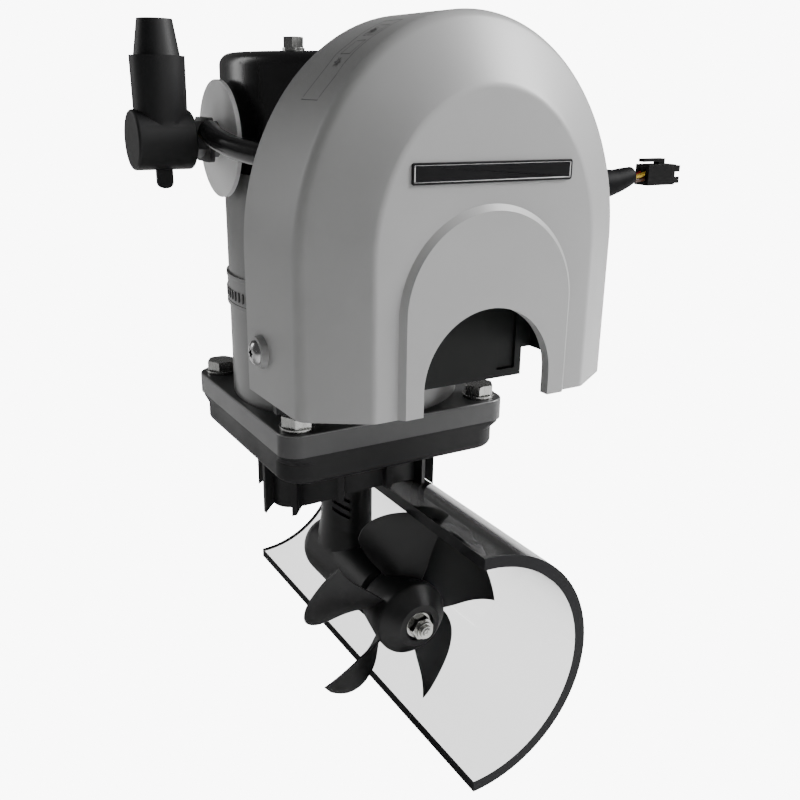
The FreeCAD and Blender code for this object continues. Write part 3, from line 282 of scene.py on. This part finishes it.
def moulded_plastic(name, colour, roughness, grain=0.00035, depth=0.04, mottle=0.06,
                    specular=0.5, gloss_spread=0.08, mottle_scale=28.0):
    """Moulded plastic or rubber: fine spark grain, faint mottle, uneven gloss."""
    material, tree, shader, place = new_finish(name)
    mould = cloud(tree, place, mottle_scale, 3.0)
    tint = tree.nodes.new("ShaderNodeVectorMath")
    tint.operation = "SCALE"
    tint.inputs[0].default_value = colour
    tree.links.new(spread(tree, mould, 1.0 - mottle, 1.0 + mottle), tint.inputs["Scale"])
    tree.links.new(tint.outputs["Vector"], shader.inputs["Base Color"])
    gloss = spread(tree, mould, roughness - gloss_spread, roughness + gloss_spread)
    tree.links.new(gloss, shader.inputs["Roughness"])
    relief(tree, shader, cloud(tree, place, 1.0 / grain), depth, 0.0002)
    shader.inputs["Specular IOR Level"].default_value = specular
    return material


tunnel = dressed("tunnel_half", "tunnel_shell", 30, 0.0004)
tunnel_wall = clear_acrylic("clear_acrylic", 0.235, 0.062, 0.058, 0.064)
sawn_edge_shade = moulded_plastic("saw_cut_painted_shade", (0.008, 0.008, 0.009), 0.2, depth=0.01,
                            specular=0.1, gloss_spread=0.05)
finish_piece(tunnel, tunnel_wall, "housing")
tunnel.data.materials.append(sawn_edge_shade)
# The sawn faces and the ends take a near-black finish: painted shade for the dark look of the clear
# edges.
for face in tunnel.data.polygons:
    at_end = abs(face.normal.y) > facing_out
    at_cut = face.normal.x < -facing_cut and face.center.x < cut_reach
    if at_end or at_cut:
        face.material_index = 1


# Gear leg and pod tail. Glass-filled nylon mouldings, black, that hold the bevel gears in
# oil; the tail screws into the back of the pod.
leg_nylon = moulded_plastic("leg_nylon", (0.0115, 0.0115, 0.012), 0.42, grain=0.0005, depth=0.06,
                            mottle=0.2, specular=0.22)
finish_piece(dressed("gear_leg", "gear_leg_moulding", 32), leg_nylon, "housing")
finish_piece(dressed("pod_tail_cap", "pod_tail_moulding", 32), leg_nylon, "housing")


# Saddle. A ribbed black composite block, bonded over the hole in the tunnel, that the
# motor's flange is bolted down to. Its surface is a little rougher than the leg's.
saddle_composite = moulded_plastic("saddle_composite", (0.0085, 0.0085, 0.009), 0.5, grain=0.0007,
                                   depth=0.1, mottle=0.25, specular=0.18)
finish_piece(dressed("saddle", "saddle_block", 30, 0.0005), saddle_composite, "housing")


# Motor flange. A cast aluminium plate, painted dark grey, whose rounded upper edges are given
# a lighter grey: a painted highlight.
orange_peel = 0.0012
highlight_slope, highlight_steep = 0.3, 0.9
highlight_height = 0.002


def two_shades(tree, shader, value, first, second, full=0.7):
    """The surface's colour, from one shade to another."""
    ramp = tree.nodes.new("ShaderNodeValToRGB")
    for stop, position, shade in zip(ramp.color_ramp.elements, (0.3, full), (first, second)):
        stop.position = position
        stop.color = (*shade, 1)
    tree.links.new(value, ramp.inputs["Fac"])
    tree.links.new(ramp.outputs["Color"], shader.inputs["Base Color"])


def painted_metal(name, colour, roughness, depth=0.05, mottle=0.1, specular=0.5,
                  gloss_spread=0.07):
    """Enamelled metal: orange peel, faint runs of tone down the coat, uneven gloss."""
    material, tree, shader, place = new_finish(name)
    runs = cloud(tree, drawn_out(tree, place, (1.0, 1.0, 0.35)), 40.0, 4.0)
    two_shades(tree, shader, runs, [channel * (1 - mottle) for channel in colour],
               [channel * (1 + mottle) for channel in colour])
    gloss = spread(tree, runs, roughness - gloss_spread, roughness + gloss_spread)
    tree.links.new(gloss, shader.inputs["Roughness"])
    relief(tree, shader, cloud(tree, place, 1.0 / orange_peel), depth, 0.0003)
    shader.inputs["Specular IOR Level"].default_value = specular
    return material


flange_paint = painted_metal("flange_paint", (0.038, 0.038, 0.039), 0.34, depth=0.04, specular=0.4)
flange_edge_highlight = painted_metal("flange_painted_highlight", (0.16, 0.16, 0.16), 0.3, depth=0.02, mottle=0.3)
flange = dressed("motor_flange", "motor_flange_casting", 30, 0.0005)
finish_piece(flange, flange_paint, "housing")
flange.data.materials.append(flange_edge_highlight)
# Slanted faces above the foot of the plate take the lighter grey: painted highlight along the edges.
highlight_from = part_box("motor_flange")[0].z + highlight_height
for face in flange.data.polygons:
    if highlight_slope < abs(face.normal.z) < highlight_steep and face.center.z > highlight_from:
        face.material_index = 1


# Flange bolts, washers and the motor's tie bolts. Bright plated hexagon screws, turned and
# forged, with plain washers.
def bare_metal(name, colour, roughness, stretch, scale=900.0, depth=0.05, gloss_spread=0.1):
    """Worked metal, faintly stained, with fine marks drawn out along one axis."""
    material, tree, shader, place = new_finish(name)
    shader.inputs["Metallic"].default_value = 1.0
    stain = cloud(tree, place, 120.0)
    two_shades(tree, shader, stain, [channel * 0.8 for channel in colour], colour, 0.65)
    marks = cloud(tree, drawn_out(tree, place, stretch), scale, 4.0)
    gloss = spread(tree, marks, roughness - gloss_spread, roughness + gloss_spread)
    tree.links.new(gloss, shader.inputs["Roughness"])
    relief(tree, shader, marks, depth, 0.00005)
    return material


plated_steel = bare_metal("plated_steel", (0.36, 0.36, 0.35), 0.26, (1, 1, 0.15), depth=0.02)
finish_piece(dressed("flange_bolts", "flange_bolt_set", 25, 0.0003), plated_steel, "housing")
finish_piece(dressed("flange_washers", "flange_washer_set", 30, 0.0002), plated_steel, "housing")
finish_piece(dressed("tie_bolts", "tie_bolt_pair", 25, 0.0003), plated_steel, "housing")


# Motor yoke. A steel tube round the motor's field poles, enamelled mid grey. It stands on
# the flange, and the end can closes its top.
yoke_enamel = painted_metal("yoke_enamel", (0.13, 0.13, 0.13), 0.34, specular=0.6, mottle=0.07)
finish_piece(dressed("motor_yoke", "motor_yoke_tube", 30, 0.0004), yoke_enamel, "housing")


# End can. A deep-drawn steel cap over the brushes and the upper bearing, in gloss black
# enamel, held down by the two tie bolts.
can_enamel = painted_metal("can_enamel", (0.006, 0.006, 0.0065), 0.27, depth=0.012, mottle=0.15,
                           gloss_spread=0.04)
finish_piece(dressed("motor_can", "motor_end_can", 30), can_enamel, "housing")


# Clamp band. A rolled steel strap round the yoke that carries the control tray. A row of
# punched slots along its lower half takes the tightening screw, and stops at the tray.
slot_count = 90
slot_size = (0.0005, 0.0018, 0.0060)
slot_rounding = 0.0009
slot_sinking = 0.0001
slot_height_share = 0.38
bare_front = -0.88
band_enamel = painted_metal("band_enamel", (0.12, 0.12, 0.12), 0.32, specular=0.6)
finish_piece(dressed("clamp_band", "clamp_band_strap", 30, 0.0003), band_enamel, "housing")
band_low, band_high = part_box("clamp_band")
slot_height = band_low.z + slot_height_share * (band_high.z - band_low.z)
slot_place = Matrix.Translation((band_high.x - slot_sinking, 0, slot_height))
slot_row = bmesh.new()
for number in range(slot_count):
    turn = Matrix.Rotation(math.tau * number / slot_count, 4, "Z")
    if (turn @ Vector((1, 0, 0))).y < bare_front:
        continue
    bmesh.ops.create_cube(slot_row, size=1.0,
                          matrix=turn @ slot_place @ Matrix.Diagonal((*slot_size, 1)))
slot_ends = [edge for edge in slot_row.edges
             if abs((edge.verts[0].co - edge.verts[1].co).z) < merge_distance
             and edge.calc_length() < slot_size[1] / 2]
bmesh.ops.bevel(slot_row, geom=slot_ends, offset=slot_rounding, offset_type="OFFSET", segments=3,
                profile=0.5, affect="EDGES", clamp_overlap=True, material=-1)
# The slots are thin dark blocks on the strap: painted shade for the holes.
slot_shadow = painted_metal("band_slot_painted_shade", (0.055, 0.055, 0.055), 0.4)
finish_piece(shaped("clamp_band_slots", slot_row), slot_shadow, "housing")


# Motor terminal. A thin insulating disc under a threaded stud, whose nuts clamp the cable's
# lug. The steel has gone dark.
disc_fibre = moulded_plastic("disc_fibre", (0.72, 0.72, 0.72), 0.5, mottle=0.05)
finish_piece(dressed("terminal_disc", "terminal_insulator", 30, 0.0003), disc_fibre, "housing")
dull_steel = bare_metal("dull_steel", (0.13, 0.13, 0.13), 0.34, (1, 1, 1))
finish_piece(dressed("terminal_nuts", "terminal_nut_pair", 25, 0.0003), dull_steel, "housing")
finish_piece(dressed("cable_lug", "cable_lug_tongue", 30, 0.0002), dull_steel, "housing")
stud_brass = bare_metal("stud_brass", (0.3, 0.25, 0.14), 0.34, (0.15, 1, 1))
finish_piece(dressed("terminal_stud", "terminal_stud_thread", 30), stud_brass, "housing")


# Motor cable. Battery cable with a glossy black sheath, crimped in the lug and fixed at the
# contactor inside the cover.
cable_sheath = moulded_plastic("cable_sheath", (0.009, 0.009, 0.0095), 0.22, grain=0.0006,
                               depth=0.03, mottle=0.15, gloss_spread=0.05)
finish_piece(dressed("motor_cable", "motor_cable_sheath", 40), cable_sheath, "housing")


# Terminal boot and loom sleeve. Moulded rubber: a tee that is pushed over the stud, and a
# cone with a flared mouth that grips the loom where it leaves the cover.
mouth_length = 0.016
mouth_flare = 0.35
mouth_trim = 0.965
boot_rubber = moulded_plastic("boot_rubber", (0.009, 0.009, 0.0095), 0.5, grain=0.0006, depth=0.08,
                              mottle=0.2, specular=0.2)
finish_piece(dressed("terminal_boot", "terminal_boot_tee", 32), boot_rubber, "housing")
sleeve = dressed("loom_sleeve", "loom_sleeve_cone", 32)
sleeve_low, sleeve_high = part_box("loom_sleeve")
sleeve_axis = (sleeve_low + sleeve_high) / 2
for vertex in sleeve.data.vertices:
    flare = 1 + mouth_flare * max(0.0, 1 - (sleeve_high.x - vertex.co.x) / mouth_length)
    vertex.co.x = sleeve_low.x + (vertex.co.x - sleeve_low.x) * mouth_trim
    vertex.co.y = sleeve_axis.y + (vertex.co.y - sleeve_axis.y) * flare
    vertex.co.z = sleeve_axis.z + (vertex.co.z - sleeve_axis.z) * flare
sleeve_rubber = moulded_plastic("sleeve_rubber", (0.002, 0.002, 0.0025), 0.6, grain=0.0006,
                                depth=0.08, mottle=0.25, specular=0.05)
finish_piece(sleeve, sleeve_rubber, "housing")


# Cover. One moulding of grey ABS with a fine satin grain, open at the back and the bottom,
# that slips down over the contactor and is held by a screw in a boss on each side.
cover_plastic = moulded_plastic("cover_plastic", (0.255, 0.255, 0.255), 0.42, grain=0.0006,
                                depth=0.03, mottle=0.025, specular=0.45)
cover = dressed("cover", "cover_shell", 24)
finish_piece(cover, cover_plastic, "housing")


# Hatch strip. A flush strip in the side band of the cover, outlined by a fine gap, with two
# small star screws and two outlined fields, and a drain slot above it near the crown. Turns
# are in degrees from the crown, toward the left.
arch_middle = 0.250
arch_radius = 0.1
ray_start = 0.2
gap_width = 0.0005
gap_turn = math.degrees(gap_width / arch_radius)
strip_first, strip_last = 51.5, 17.0
strip_near, strip_far = -0.1185, -0.1015
field_turns = (31.0, 22.5)
field_before, field_after = 4, 2
field_near, field_far = -0.1155, -0.1065
field_line_share = 0.8
drain_first, drain_last = 11.0, 5.5
drain_near, drain_far = -0.1145, -0.1120
star_screw_turns = (38.0, 24.0)
star_screw_y = -0.110
star_tip, star_hollow = 0.0034, 0.0015
star_corners = 12
star_lift = 0.0004
patch_lift = 0.00006
cover_outside = BVHTree.FromObject(cover, bpy.context.evaluated_depsgraph_get())


def on_cover(turn_from_crown, y, lift):
    """The point on the outside of the cover at an angle left of its crown, lifted off it."""
    outward = Vector((-math.sin(turn_from_crown), 0.0, math.cos(turn_from_crown)))
    middle = Vector((0, y, arch_middle))
    hit, normal = cover_outside.ray_cast(middle + outward * ray_start, -outward)[:2]
    return hit + normal * lift


def lay_patch(shape, first_turn, last_turn, near_y, far_y, steps=24):
    """A thin patch that follows the cover between two angles and two depths."""
    corners = bmesh.ops.create_grid(shape, x_segments=steps, y_segments=1, size=0.5)["verts"]
    for vertex in corners:
        along, across = vertex.co.x + 0.5, vertex.co.y + 0.5
        vertex.co = on_cover(math.radians(first_turn + (last_turn - first_turn) * along),
                             near_y + (far_y - near_y) * across, patch_lift)


hatch_lines = bmesh.new()
lay_patch(hatch_lines, strip_first, strip_last, strip_near, strip_near + gap_width)
lay_patch(hatch_lines, strip_first, strip_last, strip_far - gap_width, strip_far)
lay_patch(hatch_lines, strip_first, strip_first - gap_turn, strip_near, strip_far, steps=2)
lay_patch(hatch_lines, strip_last + gap_turn, strip_last, strip_near, strip_far, steps=2)
for field_turn in field_turns:
    first, last = field_turn + field_before, field_turn - field_after
    for edge_y in (field_near, field_far):
        lay_patch(hatch_lines, first, last, edge_y, edge_y + gap_width * field_line_share)
    for end_turn in (first, last):
        lay_patch(hatch_lines, end_turn, end_turn - gap_turn * field_line_share,
                  field_near, field_far, steps=2)
lay_patch(hatch_lines, drain_first, drain_last, drain_near, drain_far, steps=8)
bmesh.ops.recalc_face_normals(hatch_lines, faces=hatch_lines.faces)
for star_turn in star_screw_turns:
    star = bmesh.ops.create_circle(hatch_lines, cap_ends=True, radius=1.0,
                                   segments=star_corners)["verts"]
    for number, vertex in enumerate(star):
        reach = star_tip if number % 2 else star_hollow
        spin = math.tau * number / star_corners
        vertex.co = on_cover(math.radians(star_turn) + reach * math.cos(spin) / arch_radius,
                             star_screw_y + reach * math.sin(spin), star_lift)
# The gap lines, the drain slot and the stars of the screws are thin dark patches on the cover:
# painted shade.
gap_shadow = moulded_plastic("gap_shadow", (0.08, 0.08, 0.08), 0.6, mottle=0.5, mottle_scale=150.0)
finish_piece(shaped("cover_hatch_lines", hatch_lines), gap_shadow, "housing")


# Name plate. A bare black plate with a thin light line inside its edge, stuck in a shallow
# bed on the front of the cover.
plate_margin = 0.0009
plate_line = 0.00045
plate_enamel = painted_metal("plate_enamel", (0.004, 0.004, 0.0045), 0.3, depth=0.01,
                             specular=0.15, gloss_spread=0.04)
line_enamel = painted_metal("plate_line", (0.5, 0.5, 0.5), 0.35, depth=0.01)
name_plate = dressed("name_plate", "name_plate_bare", 30, 0.0002)
plate_shape = bmesh.new()
plate_shape.from_mesh(name_plate.data)
plate_front = [max((face for face in plate_shape.faces if face.normal.y < -0.9),
                   key=lambda face: face.calc_area())]
bmesh.ops.inset_region(plate_shape, faces=plate_front, thickness=plate_margin)
border = bmesh.ops.inset_region(plate_shape, faces=plate_front, thickness=plate_line)["faces"]
for face in border:
    face.material_index = 1
plate_shape.to_mesh(name_plate.data)
plate_shape.free()
finish_piece(name_plate, plate_enamel, "housing")
name_plate.data.materials.append(line_enamel)


# Cover screws. Stainless pan heads with a star drive, one in the boss on each side. A head is
# a stack of rings from the floor of its star to its rim: radius, height and depth of the star.
head_facets = 24
star_arms = 4
screw_steel = bare_metal("screw_steel", (0.4, 0.4, 0.4), 0.24, (0.3, 1, 1))
screws_low, screws_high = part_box("cover_screws")
screws_middle = (screws_low + screws_high) / 2
screw_radius = (screws_high.z - screws_low.z) / 2
head_rings = ((0.0026, -0.0024, 0.5), (0.0029, -0.0003, 0.5), (0.0033, -0.0002, 0.0),
              (screw_radius * 0.72, -0.0008, 0.0), (screw_radius * 0.93, -0.0020, 0.0),
              (screw_radius, -0.0038, 0.0), (screw_radius, -0.0060, 0.0))
screw_pair = bmesh.new()
for side in (-1, 1):
    crown = Vector((side * screws_high.x, screws_middle.y, screws_middle.z))
    along = Matrix.Translation(crown) @ Matrix.Rotation(side * math.pi / 2, 4, "Y")
    loops = []
    for radius, height, star_depth in head_rings:
        ring = bmesh.ops.create_circle(screw_pair, cap_ends=not loops, radius=radius,
                                       segments=head_facets,
                                       matrix=along @ Matrix.Translation((0, 0, height)))["verts"]
        middle = along @ Vector((0, 0, height))
        for number, vertex in enumerate(ring):
            pinch = 1.0 - star_depth * (0.5 - 0.5 * math.cos(math.tau * number / star_arms))
            vertex.co = middle + (vertex.co - middle) * pinch
        members = set(ring)
        loops.append([edge for edge in screw_pair.edges
                      if edge.verts[0] in members and edge.verts[1] in members])
    for inner, outer in zip(loops, loops[1:]):
        bmesh.ops.bridge_loops(screw_pair, edges=inner + outer)
bmesh.ops.remove_doubles(screw_pair, verts=screw_pair.verts, dist=1e-6)
bmesh.ops.holes_fill(screw_pair, edges=[edge for edge in screw_pair.edges if edge.is_boundary],
                     sides=head_facets)
bmesh.ops.recalc_face_normals(screw_pair, faces=screw_pair.faces)
for face in screw_pair.faces:
    face.smooth = True
for edge in screw_pair.edges:
    edge.smooth = edge.calc_face_angle(0.0) < math.radians(40)
cover_screws = shaped("cover_screw_pair", screw_pair)
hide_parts("cover_screws")
finish_piece(cover_screws, screw_steel, "housing")


# Control tray and its bracket. A black plastic panel behind the arch of the cover, held to
# the clamp band, that the contactor and the control unit are screwed to.
tray_plastic = moulded_plastic("tray_plastic", (0.0055, 0.0065, 0.0062), 0.45, grain=0.0007,
                               depth=0.05, mottle=0.2, specular=0.15)
finish_piece(dressed("control_tray", "control_tray_panel", 30, 0.0004), tray_plastic, "housing")
finish_piece(dressed("tray_bracket", "tray_bracket_strip", 30, 0.0003), tray_plastic, "housing")


# Contactor and control unit. Black phenolic housings on the tray, that switch the motor and
# take their orders over the loom.
phenolic = moulded_plastic("phenolic", (0.014, 0.013, 0.013), 0.38, grain=0.0009, depth=0.06,
                           mottle=0.25)
finish_piece(dressed("contactor", "contactor_housing", 30, 0.0005), phenolic, "housing")
finish_piece(dressed("control_unit", "control_unit_housing", 30, 0.0005), phenolic, "housing")


# Loom. Four thin PVC wires, one of each colour, fan out of the sleeve into a black nylon
# connector with a latch. The connector is drawn out from its mating end.
insulation_swell = 0.0005
connector_growth = (1.34, 1.1, 1.25)
for colour_name, colour, slot in (("yellow", (0.62, 0.42, 0.05), "wire_yellow"),
                                  ("red", (0.5, 0.015, 0.02), "wire_red"),
                                  ("brown", (0.06, 0.022, 0.01), "wire_brown"),
                                  ("black", (0.012, 0.012, 0.013), "cable_black")):
    insulation = moulded_plastic("wire_pvc_" + colour_name, colour, 0.32, mottle=0.12, depth=0.03)
    wire = dressed("wire_" + colour_name, "loom_wire_" + colour_name, 40)
    for vertex in wire.data.vertices:
        vertex.co += vertex.normal * insulation_swell
    finish_piece(wire, insulation, "housing")
connector = dressed("connector", "loom_connector", 30, 0.0002)
connector_low, connector_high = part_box("connector")
mating_end = (connector_low + connector_high) / 2
mating_end.x = connector_high.x
connector.data.transform(Matrix.Translation(mating_end) @ Matrix.Diagonal((*connector_growth, 1))
                         @ Matrix.Translation(-mating_end))
connector_nylon = moulded_plastic("connector_nylon", (0.005, 0.005, 0.005), 0.4, mottle=0.15,
                                  specular=0.12)
finish_piece(connector, connector_nylon, "housing")


# Propeller. Five broad blades on a swelled hub, one black nylon moulding. A pin in the shaft
# drives it, and the washer and the lock nut hold it on.
blade_nylon = moulded_plastic("blade_nylon", (0.0105, 0.0105, 0.011), 0.4, grain=0.0005, depth=0.05,
                              mottle=0.2, specular=0.25)
finish_piece(dressed("propeller", "propeller_moulding", 35), blade_nylon, "propeller_line")


# Propeller shaft, drive pin, washer and lock nut. Turned stainless steel; the end of the
# shaft has its centre hole.
end_land = 0.0021
hole_taper = 0.0006
hole_depth = 0.0015
stainless = bare_metal("turned_stainless", (0.5, 0.5, 0.48), 0.2, (1, 0.15, 1), depth=0.015,
                       gloss_spread=0.06)
prop_shaft = dressed("prop_shaft", "prop_shaft_turned", 30, 0.0003)
shaft_shape = bmesh.new()
shaft_shape.from_mesh(prop_shaft.data)
shaft_end = min(shaft_shape.faces, key=lambda face: face.calc_center_median().y)
bmesh.ops.inset_region(shaft_shape, faces=[shaft_end], thickness=end_land)
bmesh.ops.inset_region(shaft_shape, faces=[shaft_end], thickness=hole_taper, depth=-hole_depth)
shaft_shape.to_mesh(prop_shaft.data)
shaft_shape.free()
finish_piece(prop_shaft, stainless, "propeller_line")
finish_piece(dressed("prop_washer", "prop_washer_disc", 30, 0.0002), stainless, "propeller_line")
finish_piece(dressed("prop_nut", "prop_nut_hexagon", 25, 0.0003), stainless, "propeller_line")


# Inside the motor and the leg. These parts keep their own shapes: ground shafts and gears,
# laminated iron, copper, carbon brushes, bearings and rubber seals.
def finish_inside(material, *names):
    """The finish of parts that stay as they were built."""
    for name in names:
        for slot in nodes[name].material_slots:
            slot.material = material


finish_inside(stainless, "leg_shaft", "drive_pin")
finish_inside(bare_metal("case_hardened", (0.2, 0.2, 0.21), 0.34, (1, 1, 1)),
              "bevel_pinion", "bevel_gear", "drive_coupling")
finish_inside(bare_metal("laminated_iron", (0.13, 0.125, 0.12), 0.5, (0.1, 0.1, 3), 700),
              "armature", "field_poles")
finish_inside(bare_metal("copper_bars", (0.6, 0.25, 0.13), 0.34, (1, 1, 0.1)), "commutator")
finish_inside(bare_metal("bearing_steel", (0.45, 0.45, 0.46), 0.2, (1, 1, 0.3)),
              "motor_bearings", "leg_bearings", "prop_bearings")
finish_inside(moulded_plastic("carbon_block", (0.02, 0.02, 0.021), 0.6, grain=0.0008, depth=0.15),
              "brushes")
finish_inside(moulded_plastic("carrier_plastic", (0.1, 0.085, 0.06), 0.5), "brush_carrier")
finish_inside(boot_rubber, "leg_seal", "prop_seal")
